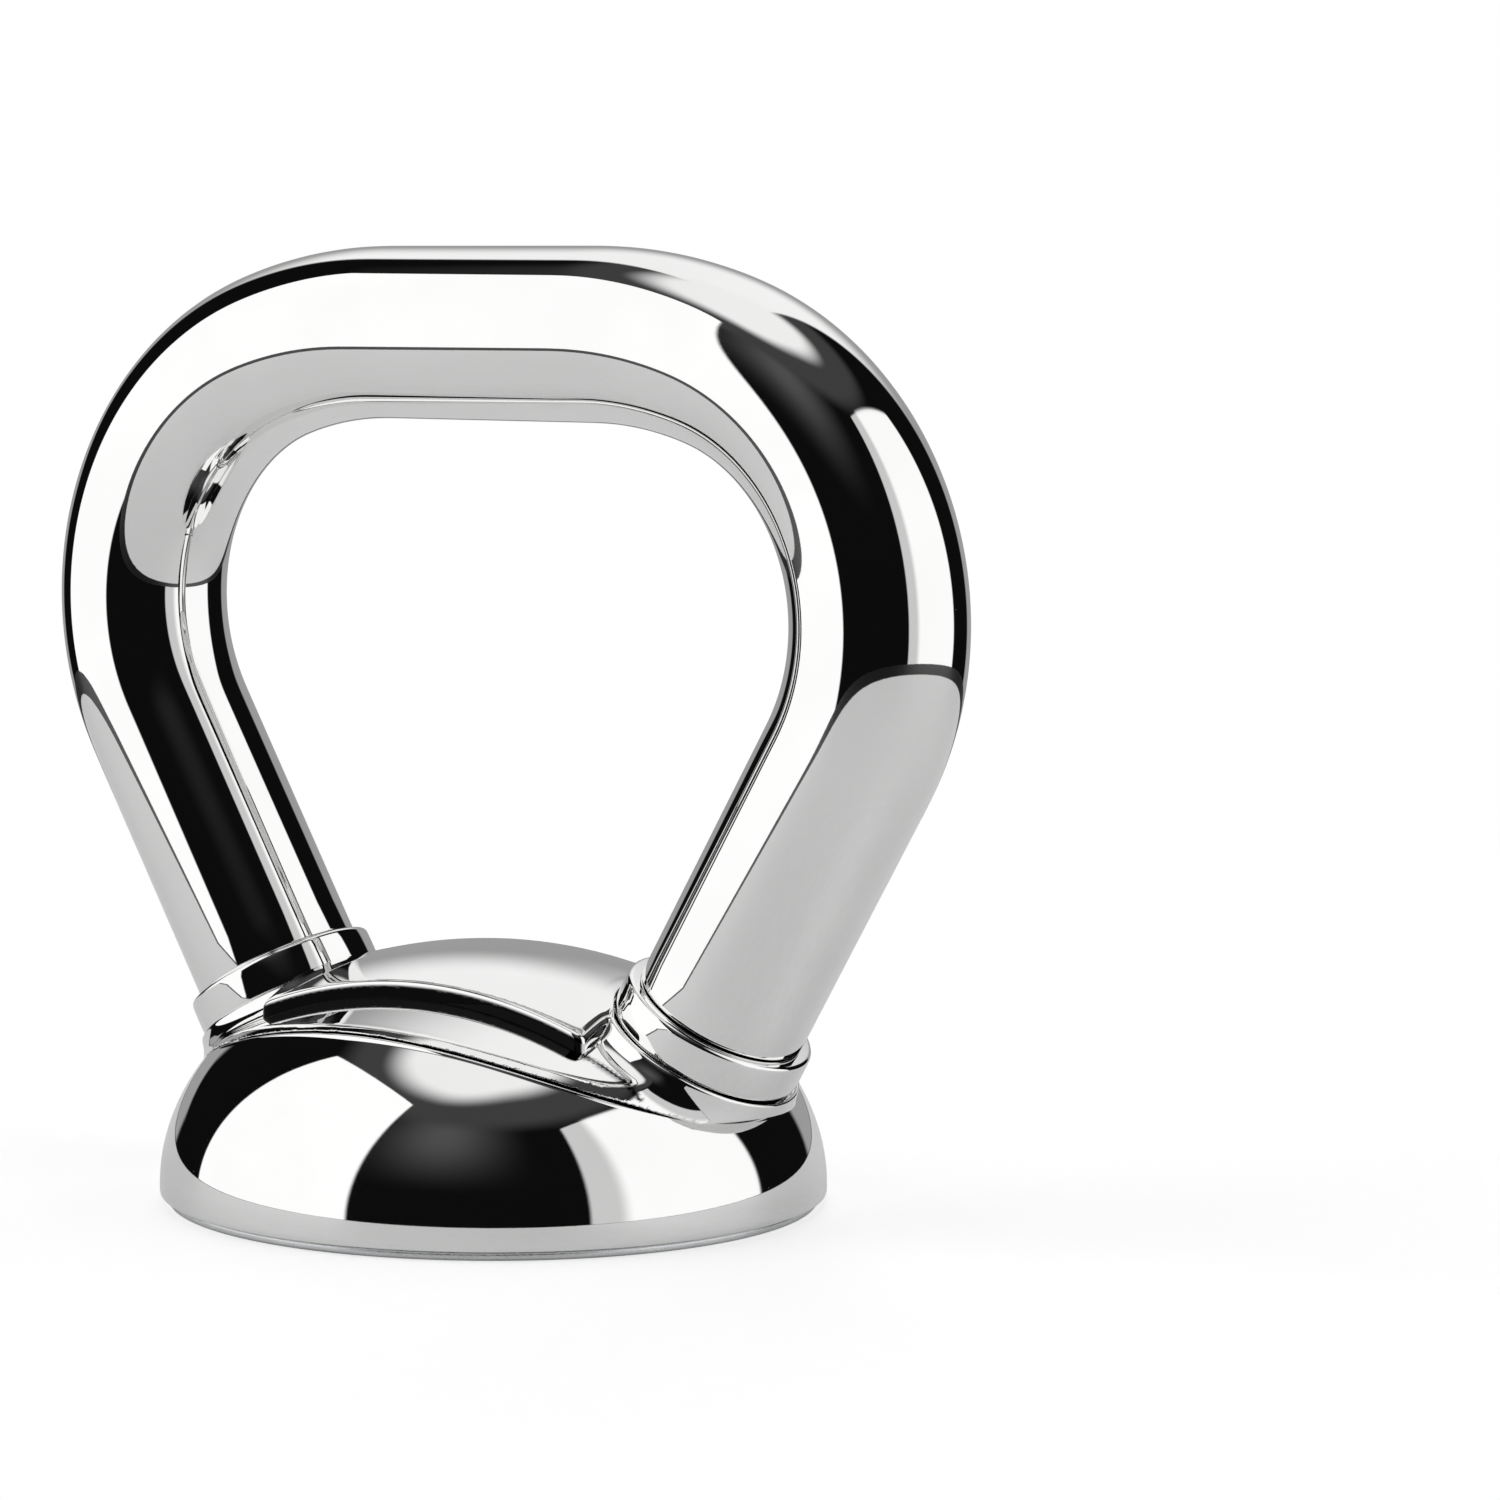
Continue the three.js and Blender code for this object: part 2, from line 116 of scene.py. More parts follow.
# Crown between the necks: part of a wheel's rim with rolled-over shoulders.
CROWN_HALF_WIDTH = 11.7
CROWN_TOP = 23.1
CROWN_END = 17.5  # half its length
CROWN_WHEEL_RADIUS = 50.0
CROWN_SHOULDER_DROP = 2.35  # how far the rim falls towards its sides
CROWN_SHOULDER_POWER = 2.5

# Yoke: fillets, and the room inside it for the bearing and its nut.
EDGE = 0.22
NECK_SPREAD = 5.5
CROWN_SPREAD = 1.5
YOKE_BOTTOM = 2.8
CAVITY_RADIUS = 13.8
CAVITY_TOP = 14.5
NUT_RECESS_RADIUS = 16.3
NUT_RECESS_TOP = 4.9

# Seat plate and hub.
SEAT_RADIUS = 29.2
SEAT_BORE = 10.1
SEAT_TOP = 0.7
HUB_RADIUS = 9.8
HUB_TOP = 14.0
FLANGE_RADIUS = 13.4
FLANGE_BOTTOM = 10.9
THREAD_MAJOR = 8.0
THREAD_MINOR = 6.92
THREAD_PITCH = 2.0
THREAD_MOUTH = THREAD_MAJOR + 0.6  # radius of the chamfer at each end of the bore

# Bearing and the screws of the closing ring.
BALL_COUNT = 16
BALL_RADIUS = 1.25
BALL_PITCH_RADIUS = 11.8
BALL_HEIGHT = 7.75
RACE_INNER = 10.1
RACE_OUTER = 13.4
GROOVE_RADIUS = 1.4
UPPER_RACE = (8.6, 10.6)
LOWER_RACE = (4.9, 6.9)
SCREW_COUNT = 4
SCREW_PITCH_RADIUS = 20.5

# Stage.
VIEW_AZIMUTH = 34.905  # degrees, from the front towards +X
TABLE_RADIUS = 300.0
TABLE_EDGE = 55.0  # width of the dark rim that only reflections show
FOOT_SHADE = 30.2  # radius of the painted shadow under the foot, which only reflections show

# ------------------------------------------------------------------ meshes


def make_mesh(name, points, faces, material, normals=None, crease=None):
    """A mesh object from points in millimetres; normals are per point, crease an angle."""
    mesh = bpy.data.meshes.new(name)
    mesh.from_pydata(np.asarray(points, float) * MM, [], faces)
    mesh.validate()
    mesh.update()
    mesh.shade_smooth()
    if crease is not None:
        mesh.set_sharp_from_angle(angle=crease)
    if normals is not None:
        mesh.normals_split_custom_set_from_vertices(normals)
    mesh.materials.append(material)
    piece = bpy.data.objects.new(name, mesh)
    bpy.context.scene.collection.objects.link(piece)
    return piece


def place(piece, body, slot_name, *nodes):
    """Puts a finished piece on its body in the place of its CAD nodes."""
    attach(piece, body)
    if nodes:
        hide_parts(*nodes)
    return piece


def grid_faces(rows, columns, wrap_rows, wrap_columns):
    """Quads between neighbouring rows and columns of a grid of points."""
    down = np.arange(rows if wrap_rows else rows - 1)
    across = np.arange(columns if wrap_columns else columns - 1)
    i, j = np.meshgrid(down, across, indexing="ij")
    i2, j2 = (i + 1) % rows, (j + 1) % columns
    quads = np.stack([i * columns + j, i2 * columns + j, i2 * columns + j2, i * columns + j2], -1)
    return quads.reshape(-1, 4).tolist()


def rounded(profile, radii, steps=6, closed=True):
    """The profile's corners rounded off: one radius per corner, 0 where it stays sharp."""
    points, count = [np.array(p, float) for p in profile], len(profile)
    made = []
    for i, (corner, radius) in enumerate(zip(points, radii)):
        ends = not closed and i in (0, count - 1)
        if radius <= 0 or ends:
            made.append(corner)
            continue
        before, after = points[i - 1] - corner, points[(i + 1) % count] - corner
        before, after = before / np.linalg.norm(before), after / np.linalg.norm(after)
        half = math.acos(max(-1.0, min(1.0, float(before @ after)))) / 2
        reach = radius / math.tan(half)
        inwards = (before + after) / np.linalg.norm(before + after)
        centre = corner + inwards * radius / math.sin(half)
        start, end = corner + before * reach - centre, corner + after * reach - centre
        turn = math.atan2(start[0] * end[1] - start[1] * end[0], float(start @ end))
        for k in range(steps + 1):
            angle = turn * k / steps
            cosine, sine = math.cos(angle), math.sin(angle)
            made.append(centre + np.array([start[0] * cosine - start[1] * sine,
                                           start[0] * sine + start[1] * cosine]))
    return np.array(made)


def turned(name, profile, material, sides=192, place_by=None, crease=math.radians(40)):
    """A ring turned about Z from a closed [radius, height] profile, anticlockwise."""
    profile = np.asarray(profile, float)
    angles = np.linspace(0, 2 * math.pi, sides, endpoint=False)
    radius, height = profile[:, 0], profile[:, 1]
    points = np.stack([
        np.cos(angles)[:, None] * radius, np.sin(angles)[:, None] * radius,
        np.broadcast_to(height, (sides, len(profile))),
    ], -1).reshape(-1, 3)
    if place_by is not None:
        points = place_by(points)
    faces = grid_faces(sides, len(profile), True, True)
    return make_mesh(name, points, faces, material, crease=crease)


# ------------------------------------------------------------------ materials


class Nodes:
    """A node tree built with short calls; every call returns the new node's output."""

    def __init__(self, tree):
        self.tree = tree
        tree.nodes.clear()

    def node(self, kind, inputs=None, **settings):
        made = self.tree.nodes.new(kind)
        for key, value in settings.items():
            setattr(made, key, value)
        for key, value in (inputs or {}).items():
            if isinstance(value, bpy.types.NodeSocket):
                self.tree.links.new(value, made.inputs[key])
            else:
                made.inputs[key].default_value = value
        return made

    def math(self, operation, a, b=0.0, c=0.0):
        return self.node("ShaderNodeMath", {0: a, 1: b, 2: c}, operation=operation).outputs[0]

    def step(self, value, low, high, start=0.0, end=1.0):
        """A smooth step from start at low to end at high."""
        made = self.node("ShaderNodeMapRange", {
            "Value": value, "From Min": low, "From Max": high, "To Min": start, "To Max": end,
        }, interpolation_type="SMOOTHSTEP")
        return made.outputs[0]

    def mixed(self, share, first, second):
        """The first colour where the share is 0, the second where it is 1."""
        made = self.node("ShaderNodeMix", {0: share, 6: first, 7: second}, data_type="RGBA")
        return made.outputs[2]

    def noise(self, scale, detail=3.0, stretch=None):
        """Noise over the piece's own coordinates, which are in metres."""
        vector = self.node("ShaderNodeTexCoord").outputs["Object"]
        if stretch is not None:
            vector = self.node("ShaderNodeMapping", {"Vector": vector, "Scale": stretch}).outputs[0]
        made = self.node("ShaderNodeTexNoise", {
            "Vector": vector, "Scale": scale, "Detail": detail,
        })
        return made.outputs["Fac"]


# Painted dark reflection: the black that stands in on the yoke's crown walls for the dark
# reflection they would show.
PAINTED_REFLECTION_BLACK = (0.006, 0.006, 0.006, 1)
METAL_RELIEF = 0.02 * MM
RUBBER_RELIEF = 0.03 * MM


def new_material(name):
    material = bpy.data.materials.new(name)
    material.use_nodes = True
    return material, Nodes(material.node_tree)


def metal(name, tint, shade, roughness, scratch, bump, stretch=None, edge=0.0, painted_reflection_attribute=None):
    """Bare metal: haze and fine scratches in its roughness, a faint relief and worn edges.
    Where the named mesh attribute is 1, the colour is a painted dark reflection, black in place of
    the metal's own."""
    material, nodes = new_material(name)
    haze = nodes.noise(90.0, 4.0)
    fine = nodes.noise(2600.0, 2.0, stretch)
    level = nodes.step(haze, 0.35, 0.75, roughness * 0.8, roughness * 1.3)
    level = nodes.math("MULTIPLY_ADD", nodes.step(fine, 0.45, 0.8), scratch, level)
    blend = nodes.step(haze, 0.3, 0.7)
    if edge:
        pointed = nodes.node("ShaderNodeNewGeometry").outputs["Pointiness"]
        worn = nodes.step(pointed, 0.52, 0.60)
        level = nodes.math("MULTIPLY_ADD", worn, edge, level)
    colour = nodes.mixed(blend, (*shade, 1), (*tint, 1))
    # Painted dark reflection, mixed in where the attribute is 1.
    if painted_reflection_attribute:
        share = nodes.node("ShaderNodeAttribute", attribute_name=painted_reflection_attribute).outputs["Fac"]
        colour = nodes.mixed(share, colour, PAINTED_REFLECTION_BLACK)
    relief = nodes.node("ShaderNodeBump", {
        "Strength": bump, "Distance": METAL_RELIEF, "Height": fine,
    })
    shader = nodes.node("ShaderNodeBsdfPrincipled", {
        "Base Color": colour, "Metallic": 1.0, "Roughness": level,
        "Normal": relief.outputs[0],
    })
    nodes.node("ShaderNodeOutputMaterial", {"Surface": shader.outputs[0]})
    return material


def rubber():
    """Dull black rubber with a fine grain."""
    material, nodes = new_material("seal_rubber_look")
    grain = nodes.noise(1800.0, 4.0)
    level = nodes.step(grain, 0.3, 0.7, 0.55, 0.75)
    colour = nodes.mixed(grain, (0.012, 0.012, 0.013, 1), (0.03, 0.03, 0.031, 1))
    relief = nodes.node("ShaderNodeBump", {
        "Strength": 0.3, "Distance": RUBBER_RELIEF, "Height": grain,
    })
    shader = nodes.node("ShaderNodeBsdfPrincipled", {
        "Base Color": colour, "Roughness": level, "Normal": relief.outputs[0],
    })
    nodes.node("ShaderNodeOutputMaterial", {"Surface": shader.outputs[0]})
    return material


POLISH = {"tint": (0.93, 0.93, 0.925), "shade": (0.90, 0.90, 0.895), "roughness": 0.022,
          "scratch": 0.006, "bump": 0.01, "edge": 0.03}
CHROME = metal("polished_chrome_look", **POLISH)
# The yoke's chrome carries a painted dark reflection on the crown's side walls.
YOKE_CHROME_DARK_PAINTED = metal("yoke_chrome_with_painted_reflection_look", **POLISH, painted_reflection_attribute="wall")
STEEL = metal("turned_steel_look", (0.82, 0.83, 0.84), (0.72, 0.73, 0.74), 0.24, 0.12, 0.3,
              (1, 1, 12), edge=0.08)
HARD = metal("hardened_steel_look", (0.70, 0.71, 0.73), (0.60, 0.61, 0.63), 0.12, 0.06, 0.15)
BRASS = metal("brass_look", (0.78, 0.60, 0.30), (0.62, 0.46, 0.20), 0.28, 0.1, 0.2)
RUBBER = rubber()

# ------------------------------------------------------------------ bail


def bail_centreline(steps=2400):
    """Distance along, x, z and heading of one half, from the top middle to the leg's shoulder.
    The bends run into each other over a short blend, so that reflections flow across them."""
    knee_turn = math.pi / 2 + LEG_ANGLE - SHOULDER_TURN
    stretches = [
        (TOP_HALF_STRAIGHT, 0.0), (SHOULDER_RADIUS * SHOULDER_TURN, 1 / SHOULDER_RADIUS),
        (KNEE_RADIUS * knee_turn, 1 / KNEE_RADIUS), (LEG_SHOULDER, 0.0),
    ]
    total = sum(length for length, _ in stretches)
    distance = np.linspace(0, total, steps)
    bend, start = np.zeros(steps), 0.0
    for length, curvature in stretches:
        bend[(distance >= start) & (distance < start + length)] = curvature
        start += length
    width = int(BEND_BLEND / total * steps) | 1
    window = np.hanning(width + 2)[1:-1]
    padded = np.pad(bend, width // 2, mode="edge")
    bend = np.convolve(padded, window / window.sum(), mode="valid")
    step = distance[1]
    heading = np.concatenate([[0], np.cumsum((bend[1:] + bend[:-1]) / 2 * step)])
    heading *= (math.pi / 2 + LEG_ANGLE) / heading[-1]
    middle = (heading[1:] + heading[:-1]) / 2
    x = np.concatenate([[0], np.cumsum(np.cos(middle) * step)])
    z = BAIL_TOP - np.concatenate([[0], np.cumsum(np.sin(middle) * step)])
    return distance, x, z, heading


DISTANCE, HALF_X, HALF_Z, HEADING = bail_centreline()
KNEE_END_X = HALF_X[-1] + LEG_SHOULDER * math.sin(LEG_ANGLE)
KNEE_END_Z = HALF_Z[-1] + LEG_SHOULDER * math.cos(LEG_ANGLE)


def on_leg(side):
    """Places points turned about Z on a leg; height 0 is where the knee bend ends."""
    cosine, sine = math.cos(LEG_ANGLE), math.sin(LEG_ANGLE) * side

    def placed(points):
        x, y, z = np.asarray(points, float).T
        return np.stack([x * cosine + z * sine + side * KNEE_END_X, y,
                         z * cosine - x * sine + KNEE_END_Z], -1)
    return placed


def make_bail():
    """The bar swept round its centreline, with a shouldered and chamfered spigot at each foot."""
    sides, spacing = 96, 0.55
    lead, chamfer, tip_radius = 3, 1.2, 0.02
    foot = DISTANCE[-1]
    shoulder = rounded([(foot - lead, BAR_RADIUS), (foot, BAR_RADIUS), (foot, SPIGOT_RADIUS),
                        (foot + lead, SPIGOT_RADIUS)], [0, 0.25, 0.3, 0], closed=False)
    end = foot + SPIGOT_END - LEG_SHOULDER
    tip = [(end - chamfer, SPIGOT_RADIUS), (end, SPIGOT_RADIUS - chamfer), (end, tip_radius)]
    plain = [(s, BAR_RADIUS) for s in np.arange(0.0, foot - lead, spacing)]
    outline = np.array(plain + shoulder.tolist() + tip)
    along, radius = outline.T
    beyond = np.maximum(along - foot, 0)
    inner = np.minimum(along, foot)
    heading = np.interp(inner, DISTANCE, HEADING)
    x = np.interp(inner, DISTANCE, HALF_X) + beyond * np.cos(heading)
    z = np.interp(inner, DISTANCE, HALF_Z) - beyond * np.sin(heading)
    right = np.stack([x, z, np.sin(heading), np.cos(heading), radius], -1)
    left = right[:0:-1] * [-1, 1, -1, 1, 1]
    x, z, out_x, out_z, radius = np.concatenate([left, right]).T
    angle = np.linspace(0, 2 * math.pi, sides, endpoint=False)
    cosine, sine = np.cos(angle), np.sin(angle)
    points = np.stack([
        x[:, None] + (radius * out_x)[:, None] * cosine,
        radius[:, None] * sine,
        z[:, None] + (radius * out_z)[:, None] * cosine,
    ], -1).reshape(-1, 3)
    faces = grid_faces(len(x), sides, False, True)
    faces.append(list(range(sides)))
    faces.append([len(points) - sides + k for k in range(sides)][::-1])
    return make_mesh("bail_bar", points, faces, CHROME, crease=math.radians(50))


def make_collar(name, side):
    """A ring round a leg's spigot, very slightly barrelled, with rounded edges."""
    inner, barrel, middle = SPIGOT_RADIUS + SPIGOT_ROOM, 0.05, -(COLLAR_FOOT + COLLAR_TOP) / 2
    bore_edge, outer_edge, barrel_radius = 0.2, 0.42, 30
    profile = rounded([(inner, -COLLAR_FOOT), (COLLAR_RADIUS, -COLLAR_FOOT),
                       (COLLAR_RADIUS + barrel, middle), (COLLAR_RADIUS, -COLLAR_TOP),
                       (inner, -COLLAR_TOP)],
                      [bore_edge, outer_edge, barrel_radius, outer_edge, bore_edge], steps=8)
    return turned(name, profile, CHROME, sides=160, place_by=on_leg(side))


# ------------------------------------------------------------------ dome and ledge formulas


def arch(x):
    """Height of the ledge, and of the seam under it, at this x."""
    return ARCH_TOP - x ** 2 / (2 * ARCH_RADIUS)


def dome_radius(z, inset=0.0):
    """Radius of the dome, set in by inset, at this height."""
    lift = np.clip((z - DOME_WALL_TOP) / (DOME_RISE - inset), 0, 1)
    return (DOME_RADIUS - inset) * np.sqrt(1 - lift ** 2)


def seam_height(angle, inset, drop):
    """Height at which the dome, set in by inset, meets the arch lowered by drop."""
    z = np.full_like(angle, ARCH_TOP - drop)
    for _ in range(40):
        reach = dome_radius(z, inset) * np.cos(angle)
        z = 0.5 * z + 0.5 * (arch(reach) - drop)
    return z


def make_dome_shell():
    """The cover: columns round the dome, each run up the outside, over its edge and down inside."""
    columns, rows, inner_rows = 384, 56, 12
    edge, foot_edge = 0.16, 0.2
    drop = LEDGE_RIM + SEAM_GAP
    angle = np.linspace(0, 2 * math.pi, columns, endpoint=False)
    top = seam_height(angle, 0.0, drop)
    inner_top = seam_height(angle, SHELL_THICKNESS, drop)
    foot = [(DOME_RADIUS - SHELL_THICKNESS, DOME_BOTTOM),
            (DOME_RADIUS - foot_edge, DOME_BOTTOM),
            (DOME_RADIUS - 0.3 * foot_edge, DOME_BOTTOM + 0.3 * foot_edge),
            (DOME_RADIUS, DOME_BOTTOM + foot_edge)]
    rings = [(np.full(columns, r), np.full(columns, z)) for r, z in foot]
    for share in np.linspace(0, 1, rows) ** 0.9:
        z = DOME_WALL_TOP + share * (top - edge - DOME_WALL_TOP)
        rings.append((dome_radius(z), z))
    outer_r, inner_r = dome_radius(top - edge), dome_radius(inner_top, SHELL_THICKNESS)
    for turn in np.linspace(0.2, 1, 5) * math.pi / 2:
        pull = edge * (1 - math.cos(turn))
        rings.append((outer_r - pull * 1.6, top - edge + edge * math.sin(turn)))
    for share in np.linspace(1, 0, inner_rows)[:-1]:
        z = DOME_BOTTOM + share * (inner_top - DOME_BOTTOM)
        rings.append((dome_radius(z, SHELL_THICKNESS), z))
    rings.append((np.full(columns, DOME_RADIUS - SHELL_THICKNESS),
                  np.full(columns, DOME_BOTTOM + 0.3)))
    radius = np.stack([r for r, _ in rings], 1)
    height = np.stack([z for _, z in rings], 1)
    cosine, sine = np.cos(angle)[:, None], np.sin(angle)[:, None]
    points = np.stack([radius * cosine, radius * sine, height], -1)
    faces = grid_faces(columns, len(rings), True, True)
    return make_mesh("dome_cover", points.reshape(-1, 3), faces, CHROME, crease=math.radians(55))


# ------------------------------------------------------------------ yoke


def smooth_min(a, b, reach):
    """The lower of two distances, with a fillet of about that reach where they meet."""
    close = np.maximum(reach - np.abs(a - b), 0) / reach
    return np.minimum(a, b) - close ** 3 * reach / 6


def smooth_max(a, b, reach):
    """The higher of two distances, with the edge where they meet rounded over that reach."""
    return -smooth_min(-a, -b, reach)


def dome_distance(x, y, z, inset):
    """About the distance to the dome set in by inset; negative inside."""
    wide, tall = DOME_RADIUS - inset, DOME_RISE - inset
    lift = np.maximum(z - DOME_WALL_TOP, 0)
    near = np.sqrt((x ** 2 + y ** 2) / wide ** 2 + lift ** 2 / tall ** 2) + 1e-9
    slope = np.sqrt((x ** 2 + y ** 2) / wide ** 4 + lift ** 2 / tall ** 4) + 1e-9
    return near * (near - 1) / slope


def leg_coordinates(x, y, z):
    """Distance from the nearer leg's axis, and how far down that leg the point is."""
    across, up = np.abs(x) - KNEE_END_X, z - KNEE_END_Z
    down = -(across * math.sin(LEG_ANGLE) + up * math.cos(LEG_ANGLE))
    side = across * math.cos(LEG_ANGLE) - up * math.sin(LEG_ANGLE)
    return np.hypot(side, y), down


def crown_distance(x, y, z):
    """The crown: part of a wheel's rim, rolled over towards a low upright wall on each side."""
    share = np.minimum(np.abs(y) / CROWN_HALF_WIDTH, 1.06)
    above = above_wheel(x, z, CROWN_SHOULDER_DROP * share ** CROWN_SHOULDER_POWER)
    crown = smooth_max(above, np.abs(y) - CROWN_HALF_WIDTH, 0.6)
    return smooth_max(crown, np.abs(x) - CROWN_END, 1.5)


def above_wheel(x, z, lower):
    """Height over the crown's wheel, made smaller by lower."""
    return np.hypot(x, z - CROWN_TOP + CROWN_WHEEL_RADIUS) - (CROWN_WHEEL_RADIUS - lower)


def ledge_underside(x):
    """Height of the ledge's lower face, level beyond the arch's end."""
    return arch(np.minimum(np.abs(x), ARCH_END)) - LEDGE_RIM


def yoke_outside(x, y, z, radial, down):
    """Ledge, crown and both necks, above the ledge's lower face."""
    slope = np.sqrt(1 + (x / ARCH_RADIUS) ** 2)
    risen = above_wheel(x, z, CROWN_TOP - ARCH_TOP - LEDGE_SLOPE * (LEDGE_REACH - np.abs(y)))
    ledge = smooth_min((z - arch(x)) / slope, risen, 0.3)
    ledge = smooth_max(ledge, dome_distance(x, y, z, 0.0), EDGE)
    neck = smooth_max(radial - NECK_RADIUS, NECK_FACE - down, 0.5)
    neck = smooth_max(neck, down - NECK_END, 1.0)
    crown = smooth_min(crown_distance(x, y, z), neck, CROWN_SPREAD)
    body = np.minimum(smooth_min(ledge, neck, NECK_SPREAD), crown)
    collar_seat = smooth_max(radial - COLLAR_RADIUS - COLLAR_ROOM, down - NECK_FACE, EDGE)
    body = smooth_max(body, -collar_seat, EDGE)
    return smooth_max(body, (ledge_underside(x) - z) / slope, EDGE)


def yoke_core(x, y, z, radial, down):
    """The block that fills the cover, and the bosses round the legs' spigots."""
    slope = np.sqrt(1 + (x / ARCH_RADIUS) ** 2)
    block = dome_distance(x, y, z, SHELL_THICKNESS + SHELL_ROOM)
    block = np.maximum(block, YOKE_BOTTOM - z)
    block = np.maximum(block, (z - arch(x) + 0.2) / slope)
    boss = np.maximum(np.maximum(radial - BOSS_RADIUS, down - BOSS_END), z - ARCH_TOP)
    return np.minimum(block, boss)


def yoke_hollows(x, y, z, radial, down):
    """The bearing's cavity, the nut's recess below it, and the spigots' sockets."""
    round_axis = np.hypot(x, y)
    cavity = np.maximum(round_axis - CAVITY_RADIUS, z - CAVITY_TOP)
    recess = np.maximum(round_axis - NUT_RECESS_RADIUS, z - NUT_RECESS_TOP)
    socket = np.maximum(radial - SPIGOT_RADIUS - SPIGOT_ROOM, down - SPIGOT_END - SPIGOT_ROOM)
    return np.minimum(np.minimum(cavity, recess), socket)


def yoke_distance(points):
    """About the distance to the yoke's surface; negative inside it."""
    x, y, z = points
    where = (x, y, z, *leg_coordinates(x, y, z))
    solid = np.minimum(yoke_outside(*where), yoke_core(*where))
    return np.maximum(solid, -yoke_hollows(*where))


def slope_of(distance, points, reach=0.01):
    """The gradient of a distance formula at each point, as rows."""
    parts = []
    for axis in range(3):
        shift = np.zeros((3, 1))
        shift[axis] = reach
        parts.append((distance(points + shift) - distance(points - shift)) / (2 * reach))
    return np.stack(parts)


def normals_of(distance, points):
    """Unit normals of a distance formula at each point, pointing outwards."""
    gradient = slope_of(distance, points)
    return gradient / np.maximum(np.linalg.norm(gradient, axis=0), 1e-9)


def drawn_on(distance, points, furthest):
    """The points moved onto the zero surface, none further than furthest along each axis."""
    home = points
    for _ in range(4):
        gradient = slope_of(distance, points)
        step = distance(points) / np.maximum((gradient ** 2).sum(0), 0.05)
        points = np.clip(points - gradient * step, home - furthest, home + furthest)
    return points


def sampled(distance, reach, low, high, spacing, rise):
    """The axes of a grid from height low to high, and the formula's value at each grid point.
    The formula is the same on both sides of x = 0 and y = 0, so one quarter is worked out."""
    axes = [np.arange(0, reach[0], spacing) + spacing / 2,
            np.arange(0, reach[1], spacing) + spacing / 2,
            np.arange(low, high, rise)]
    grid = np.meshgrid(*axes, indexing="ij")
    values = distance(np.stack([g.ravel() for g in grid])).reshape(grid[0].shape)
    values = np.concatenate([values[::-1], values], 0)
    values = np.concatenate([values[:, ::-1], values], 1)
    axes[:2] = [np.concatenate([-axis[::-1], axis]) for axis in axes[:2]]
    return axes, values


def cell_points(axes, values, size):
    """One point for each grid cell that the surface passes through, and the cells' numbers."""
    corners = [(i, j, k) for i in (0, 1) for j in (0, 1) for k in (0, 1)]
    shape = [n - 1 for n in values.shape]

    def shifted(array, corner):
        i, j, k = corner
        return array[i:i + shape[0], j:j + shape[1], k:k + shape[2]]

    inside = values < 0
    count = sum(shifted(inside, corner).astype(np.int8) for corner in corners)
    cells = np.argwhere((count > 0) & (count < len(corners)))
    corner_values = np.stack([shifted(values, c)[tuple(cells.T)] for c in corners], -1)
    total, hits = np.zeros((len(cells), 3)), np.zeros(len(cells))
    for a, start in enumerate(corners):
        for b, end in enumerate(corners):
            if b <= a or sum(abs(p - q) for p, q in zip(start, end)) != 1:
                continue
            first, second = corner_values[:, a], corner_values[:, b]
            crossed = (first < 0) != (second < 0)
            share = np.where(crossed, first / np.where(crossed, first - second, 1), 0)
            at = np.array(start) + share[:, None] * (np.array(end) - np.array(start))
            total += at * crossed[:, None]
            hits += crossed
    points = np.stack([a[c] for a, c in zip(axes, cells.T)]) + (total / hits[:, None]).T * size
    index = -np.ones(shape, int)
    index[tuple(cells.T)] = np.arange(len(cells))
    return points, index


def cell_triangles(inside, index):
    """Two triangles across every grid edge that leaves the solid, joining four cells' points."""
    faces = []
    for axis in range(3):
        u, v = (axis + 1) % 3, (axis + 2) % 3
        first = np.take(inside, range(inside.shape[axis] - 1), axis)
        second = np.take(inside, range(1, inside.shape[axis]), axis)
        edges = np.argwhere(first != second)
        keep = (edges[:, u] > 0) & (edges[:, v] > 0)
        keep &= (edges[:, u] < inside.shape[u] - 1) & (edges[:, v] < inside.shape[v] - 1)
        edges = edges[keep]
        outward = first[tuple(edges.T)]
        around = []
        for du, dv in ((0, 0), (1, 0), (1, 1), (0, 1)):
            cell = edges.copy()
            cell[:, u] -= 1 - du
            cell[:, v] -= 1 - dv
            around.append(index[tuple(cell.T)])
        quads = np.stack(around, -1)
        quads[~outward] = quads[~outward][:, ::-1]
        faces.append(quads)
    quads = np.concatenate(faces)
    return np.concatenate([quads[:, [0, 1, 2]], quads[:, [0, 2, 3]]])


def polygonised(distance, reach, low, high, spacing, rise):
    """Points and triangles of a formula's zero surface, drawn onto it."""
    axes, values = sampled(distance, reach, low, high, spacing, rise)
    size = np.array([[spacing], [spacing], [rise]])
    points, index = cell_points(axes, values, size)
    return drawn_on(distance, points, 0.7 * size), cell_triangles(values < 0, index)


